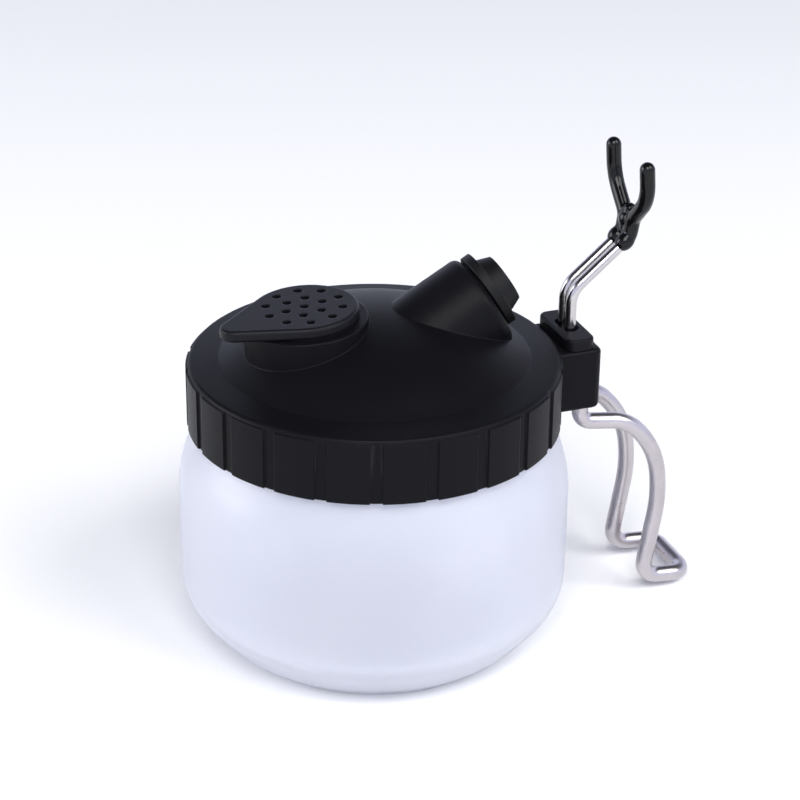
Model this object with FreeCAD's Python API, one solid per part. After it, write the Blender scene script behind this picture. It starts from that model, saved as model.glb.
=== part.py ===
"""Airbrush cleaning pot with a bent-wire holder: a glass jar, a screw lid with a filtered vent and an
angled port for the airbrush's nose, and a side bracket that carries a fork and a hanging cradle.

Frame: millimetres, +Z up along the jar's axis, origin at the middle of the base, bracket towards +X.
"""
import FreeCAD, Part
import math
import os
from FreeCAD import Vector

UP = Vector(0, 0, 1)
X_AXIS = Vector(1, 0, 0)
Y_AXIS = Vector(0, 1, 0)
ORIGIN = Vector(0, 0, 0)

# ---- driving dimensions ---------------------------------------------------------------------------------
# glass jar
BELLY_R = 48.55
FOOT_R = 35.4
HEEL_R = 41.0              # the heel climbs in two slopes from the foot to the belly
HEEL_Z = 4.4
HEEL_CORNER_R = 8.0
SIDE_Z = 13.6
SIDE_CORNER_R = 13.0
SHOULDER_Z = 46.2          # where the belly's side and the shoulder's slope would meet
SHOULDER_CORNER_R = 30.0
NECK_R = 42.4
NECK_Z = 60.2
GLASS = 3.0
BASE_GLASS = 4.5
PUNT_R = 31.0              # hollow under the base
PUNT_RISE = 1.2

# screw lid
SKIRT_Z = 58.2             # lower edge of the skirt
LID_R = 46.0               # over the grip panels
GROOVE_DEPTH = 0.5
GROOVE_WIDTH = 3.0
GROOVES = 22
GROOVE_TURN = 5.35         # degrees from the bracket to the first groove
PANEL_TOP = 15.3           # heights from here on are above the skirt's lower edge
RIM_TOP = 16.2
CREASE_R = 38.0
CREASE_TOP = 17.0
SHOULDER_R = 35.6
SHOULDER_TOP = 18.3
DOME_TOP = 28.2
LID_WALL = 1.8
SKIRT_BORE_R = 44.2
LID_CEILING = 14.4         # flat land that presses on the seal
LAND_R = 37.6

# screw thread
THREAD_PITCH = 5.08
THREAD_CREST_R = 43.6      # on the glass
LID_THREAD_CREST_R = 43.0
THREAD_ROOT_HALF = 1.15
THREAD_CREST_HALF = 0.55
THREAD_SINK = 0.4          # how far a rib reaches into its wall
THREAD_START_Z = 62.8
THREAD_TURNS = 1.15
LID_THREAD_START = 50.0    # degrees from +X
LID_THREAD_TURNS = 1.05

# seal
SEAL_THICKNESS = 1.2
SEAL_INNER_R = 38.4
SEAL_OUTER_R = 43.7
SEAL_GAP = 0.02

# vent
VENT_X = -17.7
VENT_TILT = 3.5            # degrees the vent leans away from the port
COLLAR_R = 15.2
COLLAR_TOP = 29.2
COLLAR_BORE_R = 12.9
COLLAR_EDGE_R = 0.4
GRID_TOP = 21.5
GRID_THICKNESS = 2.0
GRID_OPENING_R = 11.2
GRID_BAR = 2.0

# vent cap
CAP_GAP = 0.05
CAP_R = 13.1
CAP_THICKNESS = 2.9
CAP_TIP_REACH = 22.2
CAP_TIP_R = 3.8
CAP_TURN = 189.5           # degrees from +X to the thumb tip
CAP_EDGE_R = 0.9
CAP_SKIRT_R = 12.85
CAP_SKIRT_BORE_R = 11.6
CAP_HOLE_R = 1.15
CAP_INNER_RING = (6, 4.9)  # holes, ring radius
CAP_OUTER_RING = (10, 9.3)

# filter discs inside the cap's skirt
FILTER_R = 11.5
MESH_THICKNESS = 0.6
FELT_THICKNESS = 2.4
FILTER_GAP = 0.1
FILTER_HEADROOM = 0.3      # between the sponge and the cap's plate

# port and boot
PORT_TILT = 31.0           # degrees above the horizontal
PORT_X = 28.1              # centre of the outlet
PORT_Z = 29.1
BOSS_R = 12.3
BOSS_DRAFT = 0.7           # growth in radius from the outlet to the root
BOSS_DROP = 1.7            # the boss hangs this far below the port's axis
BOSS_EDGE_R = 2.2
BOSS_LENGTH = 30.0         # back into the dome
BOOT_BORE_R = 8.0
BOOT_BORE_DEPTH = 11.0
PORT_BORE_R = 6.4
BOOT_FLANGE_R = 9.95
BOOT_FLANGE = 2.4
BOOT_GAP = 0.35
BOOT_NECK_R = 7.75
BOOT_TIP_R = 6.2
BOOT_NECK = 3.9
BOOT_OPENING_R = 5.0
BOOT_SPIGOT_R = 7.95
BOOT_SPIGOT = 9.0
BOOT_WALL = 1.6

# bracket
BRACKET_OUT_X = 56.8
BRACKET_HALF_Y = 10.2
BRACKET_LOW = -2.1
BRACKET_HIGH = 14.15
BRACKET_CORNER_R = 2.2
BRACKET_EDGE_R = 1.2

# holder plug
PLUG_X = 51.1
FLANGE_LONG = 19.6
FLANGE_SHORT = 7.6
FLANGE_THICKNESS = 3.0
FLANGE_TOP = 17.2
FLANGE_CORNER_R = 2.4
FLANGE_EDGE_R = 0.6
SHANK_LONG = 10.4
SHANK_SHORT = 5.6
SHANK_DEPTH = 8.5
SHANK_CORNER_R = 1.0
SHANK_FIT = 0.05
RECESS_LONG = 8.6
RECESS_SHORT = 4.4
RECESS_DEPTH = 1.0

# fork
FORK_WIRE_R = 1.38
FORK_PAIR_HALF = 2.05      # half the spacing of the two stems
FORK_HAIRPIN = 10.5        # where the stems turn into the hairpin
FORK_BEND = 26.9           # where the stems lean out
FORK_UPRIGHT = 39.6        # where they turn up again
FORK_SPLIT = 44.6
FORK_SPREAD = 52.0         # where the prongs run parallel
FORK_TIP = 60.0
FORK_LEAN_X = 15.0
FORK_SPLIT_X = 15.7
FORK_TIP_X = 15.1
FORK_SPLIT_HALF = 2.3
FORK_PRONG_HALF = 9.6
FORK_SKIN_R = 1.92         # over the vinyl
SLEEVE_START = 37.7

# cradle
CRADLE_WIRE_R = 2.1
CRADLE_X = 52.2
CRADLE_ROOT_HALF = 7.7
CRADLE_HALF = 9.5
CRADLE_END_R = 4.2         # corners of the hanging end
CRADLE_HOLE_DEPTH = 7.5    # the legs are a press fit


# ---- helpers --------------------------------------------------------------------------------------------
def lid_z(height):
    """Height above the skirt's lower edge, as a height above the table."""
    return SKIRT_Z + height


def rounded_outline(corners, closed=True):
    """Edges of an outline. Each corner is (point, radius), and a radius of 0 leaves it sharp."""
    count = len(corners)
    arcs = []
    for i, (point, radius) in enumerate(corners):
        end = not closed and i in (0, count - 1)
        if radius == 0 or end:
            arcs.append((point, None, point))
            continue
        before = (corners[i - 1][0] - point).normalize()
        after = (corners[(i + 1) % count][0] - point).normalize()
        half = before.getAngle(after) / 2
        setback = radius / math.tan(half)
        middle = (before + after).normalize()
        reach = radius / math.sin(half) - radius
        arcs.append((point + before * setback, point + middle * reach, point + after * setback))
    edges = []
    for i, (first, middle, last) in enumerate(arcs):
        if middle is not None:
            edges.append(Part.Arc(first, middle, last).toShape())
        if closed or i < count - 1:
            start = arcs[(i + 1) % count][0]
            if (start - last).Length > 1e-6:
                edges.append(Part.LineSegment(last, start).toShape())
    return edges


def outline_face(corners):
    return Part.Face(Part.Wire(rounded_outline(corners)))


def turned(corners):
    """A solid of revolution about Z from (radius, height, corner radius) points."""
    face = outline_face([(Vector(r, 0, z), fillet) for r, z, fillet in corners])
    return face.revolve(ORIGIN, UP, 360)


def block(low, high):
    size = Vector(*high) - Vector(*low)
    return Part.makeBox(size.x, size.y, size.z, Vector(*low))


def rounded_block(low, high, corner_r):
    """A block whose four upright edges are rounded."""
    (x0, y0, z0), (x1, y1, z1) = low, high
    corners = [(Vector(x, y, z0), corner_r) for x, y in ((x0, y0), (x1, y0), (x1, y1), (x0, y1))]
    return outline_face(corners).extrude(Vector(0, 0, z1 - z0))


def bent_wire(points, wire_r):
    """A round wire along straight runs joined by bends. Each point is (position, bend radius)."""
    path = Part.Wire(rounded_outline(points, closed=False))
    start = points[0][0]
    along = points[1][0] - start
    section = Part.Wire(Part.makeCircle(wire_r, start, along))
    return path.makePipeShell([section], True, False)


def fused(solids):
    result = solids[0]
    if len(solids) > 1:
        result = solids[0].multiFuse(solids[1:])
    return result.removeSplitter()


def save(name, shape):
    solids = shape.Solids
    joined = solids[0] if len(solids) == 1 else Part.makeCompound(solids)
    joined.exportStep("parts/%s.step" % name)
    volume = sum(solid.Volume for solid in solids)
    print("%-16s solids %d  valid %s  volume %.1f" % (name, len(solids), joined.isValid(), volume))


# ---- frames of the tilted port --------------------------------------------------------------------------
PORT_AXIS = Vector(math.cos(math.radians(PORT_TILT)), 0, math.sin(math.radians(PORT_TILT)))
PORT_CENTRE = Vector(PORT_X, 0, lid_z(PORT_Z))


def port_turned(corners):
    """A solid of revolution about the port's axis from (radius, distance outwards, corner radius)."""
    solid = turned(corners)
    solid.rotate(ORIGIN, Y_AXIS, 90 - PORT_TILT)
    solid.translate(PORT_CENTRE)
    return solid


# ---- screw thread ---------------------------------------------------------------------------------------
def thread(root_r, crest_r, start_z, start_turn, turns):
    """A trapezoid rib along a right-hand helix, standing out of root_r towards crest_r."""
    sink = THREAD_SINK if crest_r > root_r else -THREAD_SINK
    helix = Part.makeHelix(THREAD_PITCH, THREAD_PITCH * turns, root_r)
    base_r = root_r - sink
    corners = [(base_r, -THREAD_ROOT_HALF), (root_r, -THREAD_ROOT_HALF), (crest_r, -THREAD_CREST_HALF),
               (crest_r, THREAD_CREST_HALF), (root_r, THREAD_ROOT_HALF), (base_r, THREAD_ROOT_HALF)]
    section = Part.makePolygon([Vector(r, 0, z) for r, z in corners + corners[:1]])
    rib = Part.Wire(helix.Edges).makePipeShell([section], True, True)
    rib.rotate(ORIGIN, UP, start_turn)
    rib.translate(Vector(0, 0, start_z))
    return rib


# ---- glass jar ------------------------------------------------------------------------------------------
RIM_Z = lid_z(LID_CEILING) - SEAL_THICKNESS - 2 * SEAL_GAP


def glass_jar():
    outside = turned([(0, PUNT_RISE, 0), (PUNT_R, PUNT_RISE, 1.5), (PUNT_R + 1.5, 0, 0.8), (FOOT_R, 0, 1.5),
                      (HEEL_R, HEEL_Z, HEEL_CORNER_R), (BELLY_R, SIDE_Z, SIDE_CORNER_R),
                      (BELLY_R, SHOULDER_Z, SHOULDER_CORNER_R),
                      (NECK_R, NECK_Z, 1.5), (NECK_R, RIM_Z, 0.8), (0, RIM_Z, 0)])
    inside = turned([(0, BASE_GLASS, 0), (HEEL_R - GLASS, BASE_GLASS + 0.8, HEEL_CORNER_R),
                     (BELLY_R - GLASS, SIDE_Z + 1.0, SIDE_CORNER_R - GLASS),
                     (BELLY_R - GLASS, SHOULDER_Z - 0.6, SHOULDER_CORNER_R - GLASS),
                     (NECK_R - GLASS, NECK_Z - 0.3, 3.0), (NECK_R - GLASS, RIM_Z + 1, 0),
                     (0, RIM_Z + 1, 0)])
    jar = outside.cut(inside)
    rib = thread(NECK_R, THREAD_CREST_R, THREAD_START_Z, 0, THREAD_TURNS)
    return fused([jar, rib])


# ---- lid seal -------------------------------------------------------------------------------------------
def lid_seal():
    low = RIM_Z + SEAL_GAP
    high = low + SEAL_THICKNESS
    return turned([(SEAL_INNER_R, low, 0.2), (SEAL_OUTER_R, low, 0.2), (SEAL_OUTER_R, high, 0.2),
                   (SEAL_INNER_R, high, 0.2)])


# ---- screw lid ------------------------------------------------------------------------------------------
DOME_R = (SHOULDER_R ** 2 + (DOME_TOP - SHOULDER_TOP) ** 2) / (2 * (DOME_TOP - SHOULDER_TOP))


def dome_height(radius, offset=0.0):
    """Height of the crown above the skirt's edge, at a radius, sunk by an offset."""
    return DOME_TOP - DOME_R + math.sqrt((DOME_R - offset) ** 2 - radius ** 2)


def crown(radius, offset):
    """The cap of the dome's sphere, sunk by an offset, down to a radius."""
    low = lid_z(dome_height(radius, offset))
    ball = Part.makeSphere(DOME_R - offset, Vector(0, 0, lid_z(DOME_TOP - DOME_R)))
    return ball.common(Part.makeCylinder(DOME_R, 2 * DOME_R, Vector(0, 0, low)))


def lid_outside():
    base_r = LID_R - GROOVE_DEPTH
    lower = turned([(0, lid_z(0), 0), (base_r, lid_z(0), 0.3), (base_r, lid_z(RIM_TOP), 1.0),
                    (CREASE_R, lid_z(CREASE_TOP), 1.2), (SHOULDER_R, lid_z(SHOULDER_TOP), 0),
                    (0, lid_z(SHOULDER_TOP), 0)])
    return fused([lower, crown(SHOULDER_R, 0)])


def lid_inside():
    edge_r = LAND_R - 1.5
    edge_z = lid_z(dome_height(edge_r, LID_WALL))
    lower = turned([(0, lid_z(-1), 0), (SKIRT_BORE_R, lid_z(-1), 0), (SKIRT_BORE_R, lid_z(LID_CEILING), 0.4),
                    (LAND_R, lid_z(LID_CEILING), 0), (edge_r, edge_z, 0), (0, edge_z, 0)])
    return fused([lower, crown(edge_r, LID_WALL)])


def grip_panels():
    ring = turned([(LID_R - GROOVE_DEPTH - 0.4, lid_z(0), 0), (LID_R, lid_z(0), 0.25),
                   (LID_R, lid_z(PANEL_TOP), 0.25), (LID_R - GROOVE_DEPTH - 0.4, lid_z(PANEL_TOP), 0)])
    cutters = []
    for i in range(GROOVES):
        cutter = block((LID_R - 2, -GROOVE_WIDTH / 2, lid_z(-1)), (LID_R + 1, GROOVE_WIDTH / 2, lid_z(RIM_TOP)))
        cutter.rotate(ORIGIN, UP, GROOVE_TURN + i * 360 / GROOVES)
        cutters.append(cutter)
    return ring.cut(Part.makeCompound(cutters))


def on_vent(shape):
    """Moves a shape from the vent's own frame, with the middle of its rim at the origin, onto the lid."""
    shape.rotate(ORIGIN, Y_AXIS, -VENT_TILT)
    shape.translate(Vector(VENT_X, 0, lid_z(COLLAR_TOP)))
    return shape


def vent_collar():
    grid_top = GRID_TOP - COLLAR_TOP
    low = grid_top - GRID_THICKNESS
    collar = Part.makeCylinder(COLLAR_R, -low, Vector(0, 0, low))
    rims = [edge for edge in collar.Edges if edge.BoundBox.ZLength < 1e-6]
    collar = collar.makeFillet(COLLAR_EDGE_R, rims)
    bore = Part.makeCylinder(COLLAR_BORE_R, 20, Vector(0, 0, grid_top))
    opening = Part.makeCylinder(GRID_OPENING_R, 20, Vector(0, 0, low - 5))
    bars = fused([block((-COLLAR_R, -GRID_BAR / 2, low), (COLLAR_R, GRID_BAR / 2, grid_top)),
                  block((-GRID_BAR / 2, -COLLAR_R, low), (GRID_BAR / 2, COLLAR_R, grid_top))])
    return on_vent(collar), on_vent(fused([bore, opening.cut(bars)]))


def port_boss():
    root = -BOSS_LENGTH
    boss = port_turned([(0, root, 0), (BOSS_R + BOSS_DRAFT, root, 0), (BOSS_R, 0, BOSS_EDGE_R), (0, 0, 0)])
    boss.translate(PORT_AXIS.cross(Y_AXIS) * -BOSS_DROP)
    bore = port_turned([(0, 5, 0), (BOOT_BORE_R, 5, 0), (BOOT_BORE_R, -BOOT_BORE_DEPTH, 0),
                        (PORT_BORE_R, -BOOT_BORE_DEPTH, 0), (PORT_BORE_R, root, 0), (0, root, 0)])
    return boss, bore


def bracket():
    inner_x = SKIRT_BORE_R + 0.6
    low, high = lid_z(BRACKET_LOW), lid_z(BRACKET_HIGH)
    body = rounded_block((inner_x - 6, -BRACKET_HALF_Y, low), (BRACKET_OUT_X, BRACKET_HALF_Y, high),
                         BRACKET_CORNER_R)
    rims = [edge for edge in body.Edges
            if abs(edge.BoundBox.ZLength) < 1e-6 and edge.BoundBox.XMax > inner_x - 1]
    body = body.makeFillet(BRACKET_EDGE_R, rims)
    keep_out = Part.makeCylinder(SKIRT_BORE_R + 0.3, 60, Vector(0, 0, low - 5))
    return body.cut(keep_out)


def bracket_holes():
    socket = rounded_block((PLUG_X - SHANK_SHORT / 2, -SHANK_LONG / 2, lid_z(BRACKET_HIGH - SHANK_DEPTH - 0.5)),
                           (PLUG_X + SHANK_SHORT / 2, SHANK_LONG / 2, lid_z(BRACKET_HIGH + 1)), SHANK_CORNER_R)
    holes = [socket]
    for side in (-1, 1):
        start = Vector(CRADLE_X, side * CRADLE_ROOT_HALF, lid_z(BRACKET_LOW) - 1)
        holes.append(Part.makeCylinder(CRADLE_WIRE_R, CRADLE_HOLE_DEPTH + 1, start))
    return Part.makeCompound(holes)


def screw_lid():
    collar, collar_holes = vent_collar()
    boss, boss_bore = port_boss()
    shell = fused([lid_outside(), grip_panels(), boss, bracket()])
    shell = shell.cut(lid_inside())
    shell = fused([shell, collar])
    shell = shell.cut(collar_holes).cut(boss_bore).cut(bracket_holes())
    start_z = THREAD_START_Z + THREAD_PITCH * (LID_THREAD_START / 360 - 0.5)
    rib = thread(SKIRT_BORE_R, LID_THREAD_CREST_R, start_z, LID_THREAD_START, LID_THREAD_TURNS)
    return fused([shell, rib])


# ---- vent cap and filter --------------------------------------------------------------------------------
CAP_SKIRT_DEPTH = COLLAR_TOP - GRID_TOP + CAP_GAP - FILTER_GAP
MESH_LOW = CAP_GAP - CAP_SKIRT_DEPTH
FELT_LOW = MESH_LOW + MESH_THICKNESS
SPONGE_LOW = FELT_LOW + FELT_THICKNESS
SPONGE_HIGH = -FILTER_HEADROOM


def teardrop(round_r, tip_reach, tip_r):
    """Edges of a teardrop about the origin, with its tip towards +X."""
    tip = Vector(tip_reach - tip_r, 0, 0)
    lean = math.acos((round_r - tip_r) / tip.x)
    direction = Vector(math.cos(lean), math.sin(lean), 0)
    mirrored = Vector(direction.x, -direction.y, 0)
    edges = [Part.Arc(mirrored * round_r, Vector(-round_r, 0, 0), direction * round_r).toShape()]
    edges.append(Part.LineSegment(direction * round_r, tip + direction * tip_r).toShape())
    edges.append(Part.Arc(tip + direction * tip_r, tip + X_AXIS * tip_r, tip + mirrored * tip_r).toShape())
    edges.append(Part.LineSegment(tip + mirrored * tip_r, mirrored * round_r).toShape())
    return edges


def cap_hole_places():
    places = [Vector(0, 0, 0)]
    for count, ring_r in (CAP_INNER_RING, CAP_OUTER_RING):
        for i in range(count):
            angle = 2 * math.pi * i / count
            places.append(Vector(math.cos(angle), math.sin(angle), 0) * ring_r)
    return places


def vent_cap():
    plate = Part.Face(Part.Wire(teardrop(CAP_R, CAP_TIP_REACH, CAP_TIP_R))).extrude(UP * CAP_THICKNESS)
    edges = [edge for edge in plate.Edges if edge.BoundBox.ZLength < 1e-6]
    plate = plate.makeFillet(CAP_EDGE_R, edges)
    skirt = turned([(CAP_SKIRT_BORE_R, -CAP_SKIRT_DEPTH, 0.2), (CAP_SKIRT_R, -CAP_SKIRT_DEPTH, 0.4),
                    (CAP_SKIRT_R, 0.5, 0), (CAP_SKIRT_BORE_R, 0.5, 0)])
    cap = fused([plate, skirt])
    holes = [Part.makeCylinder(CAP_HOLE_R, CAP_THICKNESS + 2, place - UP) for place in cap_hole_places()]
    cap = cap.cut(Part.makeCompound(holes))
    cap.rotate(ORIGIN, UP, CAP_TURN)
    cap.translate(UP * CAP_GAP)
    return on_vent(cap)


def filter_disc(low, high):
    return on_vent(turned([(0, low, 0), (FILTER_R, low, 0.2), (FILTER_R, high, 0.2), (0, high, 0)]))


# ---- nozzle boot ----------------------------------------------------------------------------------------
def nozzle_boot():
    face = BOOT_GAP + BOOT_FLANGE
    tip = face + BOOT_NECK
    return port_turned([(BOOT_SPIGOT_R - BOOT_WALL, -BOOT_SPIGOT, 0.3), (BOOT_SPIGOT_R, -BOOT_SPIGOT, 0.6),
                        (BOOT_SPIGOT_R, BOOT_GAP, 0), (BOOT_FLANGE_R, BOOT_GAP, 0.3),
                        (BOOT_FLANGE_R, face, 0.3), (BOOT_NECK_R, face, 0.3), (BOOT_TIP_R, tip, 0.3),
                        (BOOT_OPENING_R, tip, 0.3), (BOOT_OPENING_R, face, 0.5),
                        (BOOT_SPIGOT_R - BOOT_WALL, face - 3, 0.5)])


# ---- holder plug and fork -------------------------------------------------------------------------------
def fork_side(side):
    """Centre line of one stem and prong, from the hairpin to the tip."""
    stem_y = side * FORK_PAIR_HALF
    prong_y = side * FORK_PRONG_HALF
    return [(Vector(PLUG_X, stem_y, lid_z(FORK_HAIRPIN)), 0),
            (Vector(PLUG_X, stem_y, lid_z(FORK_BEND)), 7.0),
            (Vector(PLUG_X + FORK_LEAN_X, stem_y, lid_z(FORK_UPRIGHT)), 4.5),
            (Vector(PLUG_X + FORK_SPLIT_X, side * FORK_SPLIT_HALF, lid_z(FORK_SPLIT)), 3.5),
            (Vector(PLUG_X + FORK_SPLIT_X, prong_y, lid_z(FORK_SPREAD)), 10.0),
            (Vector(PLUG_X + FORK_TIP_X, prong_y, lid_z(FORK_TIP)), 0)]


def fork_wire():
    low = lid_z(FORK_HAIRPIN)
    turn = Part.Arc(Vector(PLUG_X, -FORK_PAIR_HALF, low), Vector(PLUG_X, 0, low - FORK_PAIR_HALF),
                    Vector(PLUG_X, FORK_PAIR_HALF, low)).toShape()
    left = rounded_outline(fork_side(-1), closed=False)
    right = rounded_outline(fork_side(1), closed=False)
    path = Part.Wire(list(reversed(left)) + [turn] + right)
    tip, before = fork_side(-1)[-1][0], fork_side(-1)[-2][0]
    section = Part.Wire(Part.makeCircle(FORK_WIRE_R, tip, tip - before))
    return path.makePipeShell([section], True, False)


def fork_sleeve(wire):
    prongs = []
    for side in (-1, 1):
        points = fork_side(side)
        bend, upright = points[1][0], points[2][0]
        share = (lid_z(SLEEVE_START) - bend.z) / (upright.z - bend.z)
        start = bend + (upright - bend) * share
        prongs.append(bent_wire([(start, 0)] + points[2:], FORK_SKIN_R))
        prongs.append(Part.makeSphere(FORK_SKIN_R, points[-1][0]))
    web_low = Vector(PLUG_X + FORK_LEAN_X - 0.2, 0, lid_z(FORK_UPRIGHT + 0.8))
    web_high = Vector(PLUG_X + FORK_SPLIT_X, 0, lid_z(FORK_SPLIT + 1.6))
    along = web_high - web_low
    web = Part.makeCylinder(FORK_SKIN_R * 0.9, along.Length, web_low, along)
    web_tip = Part.makeSphere(FORK_SKIN_R * 0.9, web_high)
    return fused(prongs + [web, web_tip]).cut(wire)


def holder_plug(wire):
    high = lid_z(FLANGE_TOP)
    low = high - FLANGE_THICKNESS
    flange = rounded_block((PLUG_X - FLANGE_SHORT / 2, -FLANGE_LONG / 2, low),
                           (PLUG_X + FLANGE_SHORT / 2, FLANGE_LONG / 2, high), FLANGE_CORNER_R)
    rims = [edge for edge in flange.Edges if edge.BoundBox.ZMin > high - 1e-3]
    flange = flange.makeFillet(FLANGE_EDGE_R, rims)
    recess = rounded_block((PLUG_X - RECESS_SHORT / 2, -RECESS_LONG / 2, high - RECESS_DEPTH),
                           (PLUG_X + RECESS_SHORT / 2, RECESS_LONG / 2, high + 1), RECESS_SHORT / 2 - 0.01)
    short, long = SHANK_SHORT / 2 - SHANK_FIT, SHANK_LONG / 2 - SHANK_FIT
    shank = rounded_block((PLUG_X - short, -long, low - SHANK_DEPTH), (PLUG_X + short, long, low + 1),
                          SHANK_CORNER_R - SHANK_FIT)
    return fused([flange, shank]).cut(recess).cut(wire)


# ---- cradle ---------------------------------------------------------------------------------------------
CRADLE_LINE = [             # how far out, height above the skirt's edge, bend radius
    (0.0, -6.2, 3.2),
    (12.2, -7.1, 10.0),
    (21.2, -16.2, 24.0),
    (22.7, -31.0, 40.0),
    (18.9, -53.9, 4.4),
    (32.0, -54.9, CRADLE_END_R),
]


def cradle_side(side):
    """Centre line of one leg, from its blind hole down to the corner of the hanging end."""
    root_y = side * CRADLE_ROOT_HALF
    hang_y = side * CRADLE_HALF
    root = Vector(CRADLE_X, root_y, lid_z(BRACKET_LOW + CRADLE_HOLE_DEPTH))
    points = [(root, 0)]
    for i, (out, height, radius) in enumerate(CRADLE_LINE):
        y = root_y if i == 0 else hang_y
        points.append((Vector(CRADLE_X + out, y, lid_z(height)), radius))
    return points


def cradle_wire():
    near, far = cradle_side(-1), cradle_side(1)
    return bent_wire(near + list(reversed(far)), CRADLE_WIRE_R)


def main():
    os.makedirs("parts", exist_ok=True)
    save("glass_jar", glass_jar())
    save("lid_seal", lid_seal())
    save("screw_lid", screw_lid())
    save("vent_cap", vent_cap())
    save("filter_mesh", filter_disc(MESH_LOW, FELT_LOW))
    save("filter_felt", filter_disc(FELT_LOW, SPONGE_LOW))
    save("filter_sponge", filter_disc(SPONGE_LOW, SPONGE_HIGH))
    save("nozzle_boot", nozzle_boot())
    wire = fork_wire()
    save("fork_wire", wire)
    save("fork_sleeve", fork_sleeve(wire))
    save("holder_plug", holder_plug(wire))
    save("cradle_wire", cradle_wire())


main()
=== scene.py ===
# %% [markdown]
# # A spray-out pot for cleaning an airbrush
# A frosted glass jar stands under a black screw lid. The lid carries a vent with a perforated cap, an angled
# port with a rubber boot for the nose of the airbrush, and a bracket that holds two bent wires. The CAD
# model gives every size and joint. Blender gives the pieces their surfaces, light and a camera, and forms two
# of them anew: the glass, so that light bends through it cleanly, and the vinyl, so that it is one soft skin.
# %% Load the frame
import math
import bpy
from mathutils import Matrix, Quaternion, Vector


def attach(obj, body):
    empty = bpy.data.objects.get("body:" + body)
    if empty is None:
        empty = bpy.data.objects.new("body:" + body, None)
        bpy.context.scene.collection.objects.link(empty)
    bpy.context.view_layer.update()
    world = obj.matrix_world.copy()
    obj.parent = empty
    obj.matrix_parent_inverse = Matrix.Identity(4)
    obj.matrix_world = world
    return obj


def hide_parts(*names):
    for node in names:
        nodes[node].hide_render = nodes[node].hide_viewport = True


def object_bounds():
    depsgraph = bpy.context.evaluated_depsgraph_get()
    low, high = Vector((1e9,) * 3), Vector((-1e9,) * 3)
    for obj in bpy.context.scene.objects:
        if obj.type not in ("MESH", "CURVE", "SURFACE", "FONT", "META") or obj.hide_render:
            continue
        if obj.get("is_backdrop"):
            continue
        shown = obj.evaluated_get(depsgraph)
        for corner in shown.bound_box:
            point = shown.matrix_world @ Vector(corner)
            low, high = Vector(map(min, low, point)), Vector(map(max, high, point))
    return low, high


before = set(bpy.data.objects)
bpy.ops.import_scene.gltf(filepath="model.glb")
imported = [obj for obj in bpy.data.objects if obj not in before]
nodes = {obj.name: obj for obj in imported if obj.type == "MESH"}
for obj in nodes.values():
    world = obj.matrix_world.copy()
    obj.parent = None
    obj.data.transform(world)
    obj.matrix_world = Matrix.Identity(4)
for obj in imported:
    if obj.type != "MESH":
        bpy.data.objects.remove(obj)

size_at_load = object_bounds()
MM_PER_M = 1000
print("nodes:", ", ".join(sorted(nodes)))
print("size in mm:", [round((high - low) * MM_PER_M, 1) for low, high in zip(*size_at_load)])

# %% [markdown]
# ## Camera
# A long lens far back keeps the pot free of strong perspective. The camera looks down at about 26 degrees.
# Its place is given by the point it looks at, the direction back from that point, and the distance, because
# those three can be changed one at a time.
# %% Camera
AIM = Vector((0.00657, -0.00052, 0.06184))      # metres, as every length that isn't said to be in mm
DISTANCE = 0.59285
SENSOR_MM, LENS_MM = 36, 108.2
azimuth, elevation, roll = (math.radians(angle) for angle in (-20.68, 26.03, 0.66))
back = Vector((math.sin(azimuth) * math.cos(elevation), -math.cos(azimuth) * math.cos(elevation),
               math.sin(elevation)))

bpy.ops.object.camera_add(location=AIM + back * DISTANCE)
camera = bpy.context.object
camera.rotation_mode = "QUATERNION"
camera.rotation_quaternion = (-back).to_track_quat("-Z", "Y") @ Quaternion((0, 0, 1), roll)
camera.data.sensor_width = SENSOR_MM
camera.data.lens = LENS_MM
bpy.context.scene.camera = camera
print("camera at", [round(x, 3) for x in camera.location])

# %% [markdown]
# ## Shader maths
# A material is a web of nodes. Writing `0.4 + 0.1 * grain` is easier to read than wiring Add and Multiply
# nodes by hand, so one small class wraps a socket and turns Python's operators into Math nodes. A second
# class holds one material: its `node` method adds any node, with its settings first and its sockets after.
# %% Shader maths
class Shade:
    """One output socket. Arithmetic on it adds Math nodes."""

    def __init__(self, finish, socket):
        self.finish = finish
        self.socket = socket

    def math(self, operation, first, second):
        return self.finish.node("ShaderNodeMath", {"operation": operation}, {0: first, 1: second})

    def __add__(self, other):
        return self.math("ADD", self, other)

    def __sub__(self, other):
        return self.math("SUBTRACT", self, other)

    def __rsub__(self, other):
        return self.math("SUBTRACT", other, self)

    def __mul__(self, other):
        return self.math("MULTIPLY", self, other)

    __radd__ = __add__
    __rmul__ = __mul__


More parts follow.
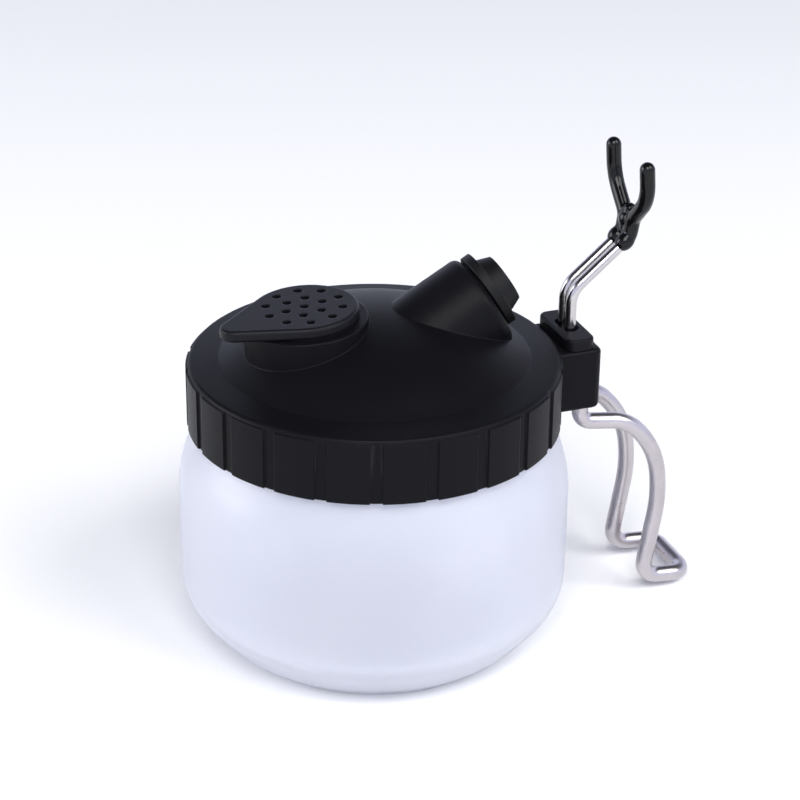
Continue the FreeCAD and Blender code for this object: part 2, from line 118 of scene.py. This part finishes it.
class Finish:
    """One material under construction."""

    def __init__(self, name):
        self.material = bpy.data.materials.new(name)
        self.material.use_nodes = True
        self.tree = self.material.node_tree
        self.tree.nodes.clear()
        self.place = self.node("ShaderNodeTexCoord", out="Object")

    def node(self, kind, settings=None, sockets=None, out=0):
        made = self.tree.nodes.new(kind)
        for name, value in (settings or {}).items():
            setattr(made, name, value)
        for name, value in (sockets or {}).items():
            if isinstance(value, Shade):
                self.tree.links.new(value.socket, made.inputs[name])
            else:
                made.inputs[name].default_value = value
        return Shade(self, made.outputs[out]) if made.outputs else None

    def noise(self, scale, detail=2.0, roughness=0.5):
        """Soft random values from 0 to 1. A scale of 1000 gives features of about a millimetre."""
        sockets = {"Vector": self.place, "Scale": scale, "Detail": detail, "Roughness": roughness}
        return self.node("ShaderNodeTexNoise", {}, sockets, "Fac")

    def spread(self, value, low, high):
        """Stretches values between low and high to the whole range from 0 to 1."""
        return self.node("ShaderNodeMapRange", {"clamp": True},
                         {"Value": value, "From Min": low, "From Max": high}, "Result")

    def colours(self, first, second, factor):
        """A blend of two colours. The Mix node's colour sockets are inputs 6 and 7 and output 2."""
        return self.node("ShaderNodeMix", {"data_type": "RGBA"},
                         {0: factor, 6: (*first, 1), 7: (*second, 1)}, 2)

    def soft_edges(self, radius):
        """The normal as if every edge nearer than radius were rounded, and how near an edge is."""
        rounded = self.node("ShaderNodeBevel", {"samples": 8}, {"Radius": radius}, "Normal")
        flat = self.node("ShaderNodeNewGeometry", out="Normal")
        alike = self.node("ShaderNodeVectorMath", {"operation": "DOT_PRODUCT"},
                          {0: rounded, 1: flat}, "Value")
        return rounded, self.spread(1 - alike, low=0.0, high=0.25)

    def bump(self, height, depth, normal=None):
        """A normal bent by a height from 0 to 1 that stands for depth metres."""
        sockets = {"Height": height, "Distance": depth, "Strength": 1.0}
        if normal is not None:
            sockets["Normal"] = normal
        return self.node("ShaderNodeBump", {}, sockets, "Normal")

    def principled(self, **sockets):
        """A Principled shader. A socket's name is written with _ for each space."""
        named = {name.replace("_", " "): value for name, value in sockets.items()}
        return self.node("ShaderNodeBsdfPrincipled", {}, named, "BSDF")

    def done(self, shader):
        self.node("ShaderNodeOutputMaterial", {}, {"Surface": shader})
        return self.material


def dress(piece, material):
    """Gives a piece this one material."""
    piece.data.materials.clear()
    piece.data.materials.append(material)


print("shader maths ready")

# %% [markdown]
# ## Floor and light
# A white sweep in a studio is only a pale matt floor and large soft lamps. Polished wire shows whatever is
# round it, so the sky isn't one flat white: it is bright and slightly blue low down and nearly black
# overhead, which draws the dark lines along the wires that make metal look like metal.
# %% Floor
FLOOR_WIDTH = 8


def pale_paper():
    f = Finish("pale_paper")
    tooth = f.noise(scale=900, detail=3)
    colour = f.colours((0.90, 0.90, 0.905), (0.93, 0.93, 0.935), tooth)
    return f.done(f.principled(Base_Color=colour, Roughness=0.75, Normal=f.bump(tooth, depth=0.00002)))


bpy.ops.object.select_all(action="DESELECT")
bpy.ops.mesh.primitive_plane_add(size=FLOOR_WIDTH)
floor = bpy.context.object
floor.name = "floor"
dress(floor, pale_paper())
floor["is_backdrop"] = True
print("floor", FLOOR_WIDTH, "m wide")


# %% Sky and lamps
SKY_STOPS = [(0.28, (1.00, 1.06, 1.36, 1)), (0.62, (0.05, 0.05, 0.06, 1))]      # upward share, colour
LAMP_TARGET = Vector((0, 0, 0.06))
LAMPS = {  # name: place, width in metres, watts
    "key_lamp": ((-0.45, -1.10, 1.30), 1.0, 23),
    "fill_lamp": ((0.75, -0.90, 1.25), 1.0, 18),
    "left_lamp": ((-1.15, 0.45, 0.40), 0.70, 8),
}


def sky():
    """A world whose colour depends only on how far up one looks."""
    world = bpy.data.worlds.new("studio")
    world.use_nodes = True
    web = world.node_tree
    web.nodes.clear()
    direction = web.nodes.new("ShaderNodeTexCoord")
    split = web.nodes.new("ShaderNodeSeparateXYZ")
    ramp = web.nodes.new("ShaderNodeValToRGB")
    for stop, (position, colour) in zip(ramp.color_ramp.elements, SKY_STOPS):
        stop.position, stop.color = position, colour
    light = web.nodes.new("ShaderNodeBackground")
    output = web.nodes.new("ShaderNodeOutputWorld")
    web.links.new(direction.outputs["Generated"], split.inputs[0])
    web.links.new(split.outputs["Z"], ramp.inputs[0])
    web.links.new(ramp.outputs["Color"], light.inputs["Color"])
    web.links.new(light.outputs[0], output.inputs["Surface"])
    bpy.context.scene.world = world


def lamp(name, place, width, watts):
    """A square soft lamp that faces the pot."""
    bpy.ops.object.light_add(type="AREA", location=place)
    soft = bpy.context.object
    soft.name = name
    soft.rotation_euler = (LAMP_TARGET - Vector(place)).to_track_quat("-Z", "Y").to_euler()
    soft.data.size = width
    soft.data.energy = watts


sky()
for name, (place, width, watts) in LAMPS.items():
    lamp(name, place, width, watts)
print(len(LAMPS), "soft lamps")

# %% [markdown]
# ## The glass jar
# The real jar is blown in a mould and then etched outside, so its walls are round and thick and no edge is
# sharp. A wall with both faces is needed for light to bend through it. The half section is drawn by pulling
# one vertex from point to point, and spun round the jar's axis, which is how a lathe would form it.
# %% Half section of the jar, in millimetres
FOOT_R = 35.4
BELLY_R, BELLY_BORE_R = 48.55, 45.55
NECK_R, NECK_BORE_R = 42.4, 39.4
RIM_Z = 71.36


def rounded(corners, steps=7):
    """Points of a section. Each corner is (radius, height, fillet), and the first and last stay sharp."""
    points = []
    for i, (r, z, fillet) in enumerate(corners):
        corner = Vector((r, z))
        if fillet == 0 or i in (0, len(corners) - 1):
            points.append(corner)
            continue
        before = (Vector(corners[i - 1][:2]) - corner).normalized()
        after = (Vector(corners[i + 1][:2]) - corner).normalized()
        half = before.angle(after) / 2
        centre = corner + (before + after).normalized() * fillet / math.sin(half)
        start = corner + before * fillet / math.tan(half) - centre
        end = corner + after * fillet / math.tan(half) - centre
        points += [centre + start.slerp(end, k / steps).normalized() * fillet for k in range(steps + 1)]
    return points


jar_section = rounded([
    (0, 1.2, 0), (31, 1.2, 1.5), (32.5, 0, 0.8), (FOOT_R, 0, 1.5),          # hollow base and foot ring
    (41, 4.4, 8), (BELLY_R, 13.6, 13), (BELLY_R, 46.2, 30),                 # heel, side and shoulder
    (NECK_R, 60.2, 1.5), (NECK_R, RIM_Z, 0.8),                              # neck
    (NECK_BORE_R, RIM_Z, 0.6), (NECK_BORE_R, 59.9, 3),                      # and down the inside
    (BELLY_BORE_R, 45.6, 27), (BELLY_BORE_R, 14.6, 10), (38, 5.3, 8), (0, 4.5, 0),
])
print(len(jar_section), "points in the jar's section")


# %% Spin a section
SEED_SIZE = 0.001
MERGE_DISTANCE = 2e-6
SMOOTH_BELOW = math.radians(40)
JAR_STEPS = 192


def clear_selection():
    if bpy.context.object and bpy.context.object.mode != "OBJECT":
        bpy.ops.object.mode_set(mode="OBJECT")
    bpy.ops.object.select_all(action="DESELECT")


def vertex_at(name, x, y, z):
    """A mesh of one vertex, in edit mode: a small plane merged to its middle and moved into place."""
    clear_selection()
    bpy.ops.mesh.primitive_plane_add(size=SEED_SIZE)
    piece = bpy.context.object
    piece.name = piece.data.name = name
    bpy.ops.object.mode_set(mode="EDIT")
    bpy.ops.mesh.select_all(action="SELECT")
    bpy.ops.mesh.merge(type="CENTER")
    bpy.ops.transform.translate(value=(x, y, z))
    return piece


def pull_by(step):
    bpy.ops.mesh.extrude_vertices_move(TRANSFORM_OT_translate={"value": step})


def closed_up():
    """Merges the seams of the mesh in edit mode, turns its faces outwards and leaves edit mode."""
    bpy.ops.mesh.select_all(action="SELECT")
    bpy.ops.mesh.remove_doubles(threshold=MERGE_DISTANCE)
    bpy.ops.mesh.normals_make_consistent(inside=False)
    bpy.ops.object.mode_set(mode="OBJECT")


def spun(name, section, steps):
    """Spins a section in millimetres about Z and closes the surface."""
    points = [(p.x / MM_PER_M, 0, p.y / MM_PER_M) for p in section]
    piece = vertex_at(name, *points[0])
    for first, second in zip(points, points[1:]):
        pull_by([b - a for a, b in zip(first, second)])
    bpy.ops.mesh.select_all(action="SELECT")
    bpy.ops.mesh.spin(steps=steps, angle=math.tau, center=(0, 0, 0), axis=(0, 0, 1))
    closed_up()
    bpy.ops.object.shade_smooth_by_angle(angle=SMOOTH_BELOW)
    return piece


jar = spun("jar_glass", jar_section, JAR_STEPS)
print(jar.name, len(jar.data.polygons), "faces")

# %% [markdown]
# The lid holds on to a screw thread on the neck. A small four-sided section is turned and raised at once by
# the Screw modifier, and a Boolean joins the rib to the glass. The modifier leaves the rib's two ends open, so
# the Boolean leaves some walls inside the glass along the rib. With both ends filled it would leave none.
# %% Thread on the neck, in millimetres
THREAD_CREST_R = 43.6
THREAD_START_Z = 62.8
THREAD_PITCH = 5.08
THREAD_TURNS = 1.15
THREAD_SUNK = 0.4               # how far the rib's root lies inside the glass
THREAD_HALF_HEIGHT = 1.15       # of its section at the root: a flank, the crest and a flank
FLANK, CREST = 0.0006, 0.0011   # heights, in metres
THREAD_STEPS = 220


def screw_rib(name, root_r, crest_r, start, pitch, turns):
    piece = vertex_at(name, (root_r - THREAD_SUNK) / MM_PER_M, 0, (start - THREAD_HALF_HEIGHT) / MM_PER_M)
    tread = (crest_r - root_r + THREAD_SUNK) / MM_PER_M
    for step in ((tread, 0, FLANK), (0, 0, CREST), (-tread, 0, FLANK)):
        pull_by(step)
    bpy.ops.mesh.select_all(action="SELECT")
    bpy.ops.mesh.edge_face_add()
    bpy.ops.object.mode_set(mode="OBJECT")
    bpy.ops.object.modifier_add(type="SCREW")
    rise = piece.modifiers[-1]
    rise.angle, rise.screw_offset = math.tau * turns, pitch * turns / MM_PER_M
    rise.steps = rise.render_steps = THREAD_STEPS
    bpy.ops.object.modifier_apply(modifier=rise.name)
    bpy.ops.object.mode_set(mode="EDIT")
    closed_up()
    return piece


def joined_with(piece, other):
    """Unites two meshes and removes the second. Walls stay inside unless both are closed."""
    clear_selection()
    bpy.context.view_layer.objects.active = piece
    piece.select_set(True)
    union = piece.modifiers.new("union", "BOOLEAN")
    union.operation, union.object, union.solver = "UNION", other, "EXACT"
    bpy.ops.object.modifier_apply(modifier=union.name)
    bpy.data.objects.remove(other)
    bpy.ops.object.shade_smooth_by_angle(angle=SMOOTH_BELOW)


rib = screw_rib("neck_thread", NECK_R, THREAD_CREST_R, THREAD_START_Z, THREAD_PITCH, THREAD_TURNS)
print("rib faces", len(rib.data.polygons))
joined_with(jar, rib)
print(jar.name, len(jar.data.polygons), "faces with its thread")

# %% [markdown]
# Frosted glass lets light through but scatters it, so what is behind shows only as a soft shade. A glass
# shader with a rough surface does most of that. Some three tenths of plain bluish white are mixed in for the
# etched skin, which is grainy and catches light itself. The etching is slightly uneven, as acid leaves it.
# %% Frosted glass
def frosted_glass():
    f = Finish("frosted_glass")
    cloud = f.noise(scale=38, detail=3)
    grain = f.noise(scale=3600, detail=4, roughness=0.7)
    skin = f.bump(grain, depth=0.000025)
    glass = f.principled(Base_Color=f.colours((0.955, 0.965, 1.0), (0.975, 0.985, 1.0), cloud),
                         Roughness=0.27 + 0.08 * cloud, IOR=1.47, Transmission_Weight=1.0, Normal=skin)
    etched = f.principled(Base_Color=f.colours((0.85, 0.87, 0.97), (0.90, 0.92, 0.99), cloud),
                          Roughness=0.55 + 0.15 * grain, Normal=skin)
    share = 0.26 + 0.08 * cloud
    return f.done(f.node("ShaderNodeMixShader", {}, {0: share, 1: glass, 2: etched}, "Shader"))


dress(jar, frosted_glass())
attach(jar, "jar")
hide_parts("glass_jar")
print("jar in frosted glass")

# %% [markdown]
# ## Moulded plastic
# The lid, its cap and the plug of the fork are near-black plastic from moulds with a fine sparked texture.
# Up close that is a dull pebbly grain far smaller than a millimetre. Moulded corners are never quite sharp,
# so a Bevel node bends the normal round them, and every corner, inner ones too, is a little lighter and shinier
# than flats.
# %% Moulded plastic
def moulded_plastic(name, dark, light, roughness, gloss, corner):
    """Two near blacks, the roughness and reflectance of the flats, and the radius of the soft corners."""
    f = Finish(name)
    cloud = f.noise(scale=28, detail=3)
    grain = f.noise(scale=4200, detail=3, roughness=0.65)
    speck = f.spread(f.noise(scale=900, detail=2), low=0.62, high=0.80)
    soft_normal, edge = f.soft_edges(corner)
    colour = f.colours(dark, light, 0.35 * cloud + 0.25 * grain + 0.5 * edge)
    return f.done(f.principled(Base_Color=colour,
                               Roughness=roughness + 0.10 * cloud - 0.07 * edge + 0.05 * speck,
                               Specular_IOR_Level=gloss,
                               Normal=f.bump(grain, depth=0.00003, normal=soft_normal)))


dress(nodes["screw_lid"], moulded_plastic(
    "lid_plastic", dark=(0.0030, 0.0030, 0.0038), light=(0.007, 0.007, 0.009),
    roughness=0.35, gloss=0.075, corner=0.0005))
dress(nodes["vent_cap"], moulded_plastic(
    "cap_plastic", dark=(0.0035, 0.0035, 0.0048), light=(0.012, 0.012, 0.016),
    roughness=0.34, gloss=0.13, corner=0.0004))
dress(nodes["holder_plug"], moulded_plastic(
    "plug_plastic", dark=(0.0030, 0.0030, 0.0040), light=(0.010, 0.010, 0.013),
    roughness=0.36, gloss=0.10, corner=0.0004))
print("lid, cap and plug in moulded plastic")

# %% [markdown]
# ## Rubber boot
# Soft rubber is duller than the lid, with a bloom that settles on it as faint grey patches.
# %% Rubber
def soft_rubber():
    f = Finish("boot_rubber")
    bloom = f.spread(f.noise(scale=220, detail=4, roughness=0.6), low=0.45, high=0.75)
    grain = f.noise(scale=2600, detail=3, roughness=0.6)
    soft_normal, edge = f.soft_edges(radius=0.0004)
    colour = f.colours((0.0025, 0.0025, 0.0030), (0.010, 0.010, 0.011), 0.5 * bloom + 0.4 * edge)
    return f.done(f.principled(Base_Color=colour, Roughness=0.50 + 0.12 * bloom, Specular_IOR_Level=0.18,
                               Normal=f.bump(grain, depth=0.00004, normal=soft_normal)))


dress(nodes["nozzle_boot"], soft_rubber())
print("boot in rubber")

# %% [markdown]
# ## Seal and filter
# These are hidden until the pot is opened. The liner is closed-cell foam, and the discs under the cap are a
# woven mesh, a felt and an open sponge.
# %% Seal and filter
def foam(name, colour, cell, depth, roughness):
    """Foam or felt: a base colour broken up by small dark cells, the finer the larger cell is."""
    f = Finish(name)
    cells = f.node("ShaderNodeTexVoronoi", {}, {"Vector": f.place, "Scale": cell}, "Distance")
    fuzz = f.noise(scale=cell * 2.5, detail=4, roughness=0.7)
    shadow = [0.45 * channel for channel in colour]
    mixed = f.colours(shadow, colour, f.spread(cells + 0.4 * fuzz, low=0.15, high=0.75))
    return f.done(f.principled(Base_Color=mixed, Roughness=roughness, Normal=f.bump(cells + fuzz, depth)))


def woven_mesh():
    """Two sets of threads, each a raised wave, in a fine square weave."""
    f = Finish("filter_mesh")
    height = None
    for direction in ("X", "Y"):
        threads = f.node("ShaderNodeTexWave", {"bands_direction": direction},
                         {"Vector": f.place, "Scale": 900, "Distortion": 0.4, "Detail": 1.0}, "Fac")
        height = threads if height is None else height.math("MAXIMUM", height, threads)
    colour = f.colours((0.20, 0.20, 0.20), (0.72, 0.72, 0.70), height)
    return f.done(f.principled(Base_Color=colour, Roughness=0.5, Normal=f.bump(height, depth=0.0001)))


dress(nodes["lid_seal"],
      foam("seal_foam", (0.80, 0.80, 0.77), cell=2500, depth=0.00003, roughness=0.7))
dress(nodes["filter_mesh"], woven_mesh())
dress(nodes["filter_felt"],
      foam("filter_felt", (0.09, 0.09, 0.10), cell=1800, depth=0.0001, roughness=0.95))
dress(nodes["filter_sponge"],
      foam("filter_sponge", (0.045, 0.045, 0.05), cell=700, depth=0.0004, roughness=0.9))
print("seal and filter discs finished")

# %% [markdown]
# ## Wires
# Both holders are bent from bright drawn stainless wire. Drawing leaves it smooth but not a mirror, and
# handling leaves faint smears. The thin wire is the shinier of the two.
# %% Stainless wire
def drawn_steel(name, dark, light, roughness):
    f = Finish(name)
    smear = f.noise(scale=130, detail=3, roughness=0.6)
    scratch = f.noise(scale=2400, detail=5, roughness=0.75)
    return f.done(f.principled(Base_Color=f.colours(dark, light, smear), Metallic=1.0,
                               Roughness=roughness + 0.10 * smear + 0.06 * scratch,
                               Normal=f.bump(scratch, depth=0.000008)))


dress(nodes["fork_wire"], drawn_steel(
    "polished_wire", dark=(0.46, 0.44, 0.44), light=(0.60, 0.58, 0.58), roughness=0.10))
dress(nodes["cradle_wire"], drawn_steel(
    "satin_wire", dark=(0.45, 0.42, 0.435), light=(0.58, 0.545, 0.56), roughness=0.21))
print("wires in stainless steel")

# %% [markdown]
# ## Vinyl dip
# The fork was dipped in liquid vinyl and hung up to cure. Surface tension fills the crotch between the prongs
# and rounds every ridge, so hard joints would look wrong. A voxel remesh of the CAD shape melts its parts
# into one skin, and rounds of smoothing do what surface tension did. Drops gathered at the lower ends and in
# the crotch as it cured, so three beads are melted in with it.
# %% Vinyl skin
LOOSE_CORNERS = 1e-6                # distance within which a CAD mesh's triangles are merged
VOXEL = 0.0002
SOFTENING_ROUNDS = 24
WIRE_LEAN = math.radians(49.8)      # of the fork's lower wire, from upright
END_DROP_X, END_DROP_Y, END_DROP_Z = 0.0649, 0.0022, 0.0970
CROTCH_DROP = (0.0666, 0, 0.1022)


def copy_of(node, name):
    """A separate mesh of a CAD node, with its loose triangles merged."""
    clear_selection()
    piece = nodes[node].copy()
    piece.data = nodes[node].data.copy()
    piece.name = piece.data.name = name
    for key in list(piece.keys()):
        del piece[key]
    piece.parent = None
    bpy.context.scene.collection.objects.link(piece)
    bpy.context.view_layer.objects.active = piece
    piece.select_set(True)
    bpy.ops.object.mode_set(mode="EDIT")
    bpy.ops.mesh.select_all(action="SELECT")
    bpy.ops.mesh.remove_doubles(threshold=LOOSE_CORNERS)
    bpy.ops.object.mode_set(mode="OBJECT")
    return piece


def melt(piece, voxel, rounds):
    """Turns a piece's overlapping parts into one skin of voxel-sized faces and smooths it."""
    skin = piece.modifiers.new("skin", "REMESH")
    skin.mode, skin.voxel_size, skin.use_smooth_shade = "VOXEL", voxel, True
    bpy.ops.object.modifier_apply(modifier=skin.name)
    soften = piece.modifiers.new("soften", "SMOOTH")
    soften.factor, soften.iterations = 0.5, rounds
    bpy.ops.object.modifier_apply(modifier=soften.name)
    bpy.ops.object.shade_smooth()


def glossy_vinyl():
    f = Finish("vinyl_dip")
    sag = f.noise(scale=260, detail=2)
    colour = f.colours((0.002, 0.002, 0.0024), (0.005, 0.005, 0.006), sag)
    return f.done(f.principled(Base_Color=colour, Roughness=0.09 + 0.05 * sag, Specular_IOR_Level=0.25,
                               Normal=f.bump(sag, depth=0.00004)))


def bead(place, radius, stretch):
    """A drop of vinyl, lengthened along the lean of the wires."""
    bpy.ops.mesh.primitive_uv_sphere_add(segments=32, ring_count=16, radius=radius, location=place,
                                         rotation=(0, WIRE_LEAN, 0), scale=(1, 1, stretch))
    return bpy.context.object


vinyl = copy_of("fork_sleeve", "vinyl_skin")
drops = [bead((END_DROP_X, side * END_DROP_Y, END_DROP_Z), radius=0.00225, stretch=1.25)
         for side in (-1, 1)]
drops.append(bead(CROTCH_DROP, radius=0.0025, stretch=1.1))
for drop in drops + [vinyl]:
    drop.select_set(True)
bpy.context.view_layer.objects.active = vinyl
bpy.ops.object.join()
melt(vinyl, VOXEL, SOFTENING_ROUNDS)
dress(vinyl, glossy_vinyl())
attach(vinyl, "holder")
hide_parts("fork_sleeve")
print(vinyl.name, len(vinyl.data.polygons), "faces")

# %% [markdown]
# ## Tone and finish
# The plain Standard view keeps the floor white and the plastic black. The size of the whole is printed beside
# the size of the CAD model.
# %% Finish
bpy.context.scene.view_settings.view_transform = "Standard"
sizes = {"cad": [list(corner) for corner in size_at_load], "visual": [list(corner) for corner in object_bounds()]}
print("CAD and visual boxes in mm:")
for name, (low, high) in sizes.items():
    print(" ", name, [round(x * 1000, 2) for x in low], [round(x * 1000, 2) for x in high])
